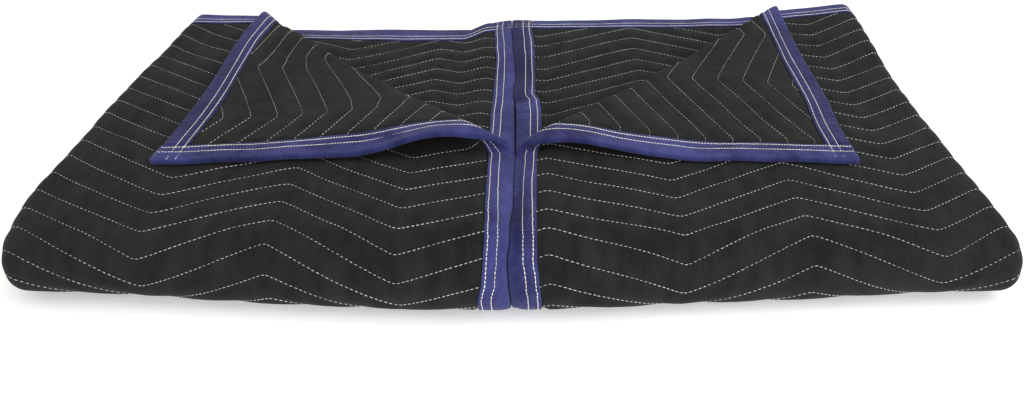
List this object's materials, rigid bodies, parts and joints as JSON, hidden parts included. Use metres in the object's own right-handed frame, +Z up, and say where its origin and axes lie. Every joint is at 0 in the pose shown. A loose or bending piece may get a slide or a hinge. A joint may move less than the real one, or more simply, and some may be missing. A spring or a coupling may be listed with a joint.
{
  "type": "moving blanket",
  "caption": "Quilted moving blanket with bound edges, folded into a flat pack with both loose top corners turned down.",
  "frame": {"origin": "on the resting surface, under the middle of the folded pack", "axes": "+X along the pack's long side, +Y from the round fold at the front to the hems at the back, +Z up"},
  "size_m": [0.9377, 0.5268, 0.1088],
  "materials": {
    "panel_cloth": "charcoal woven face cloth, matt, zigzag quilted",
    "binding_tape": "purple-navy woven binding tape, matt"
  },
  "bodies": {
    "root": {"quilted_panel": "panel_cloth", "binding_left": "binding_tape", "binding_right": "binding_tape", "binding_head": "binding_tape", "binding_foot": "binding_tape"}
  },
  "joints": []
}
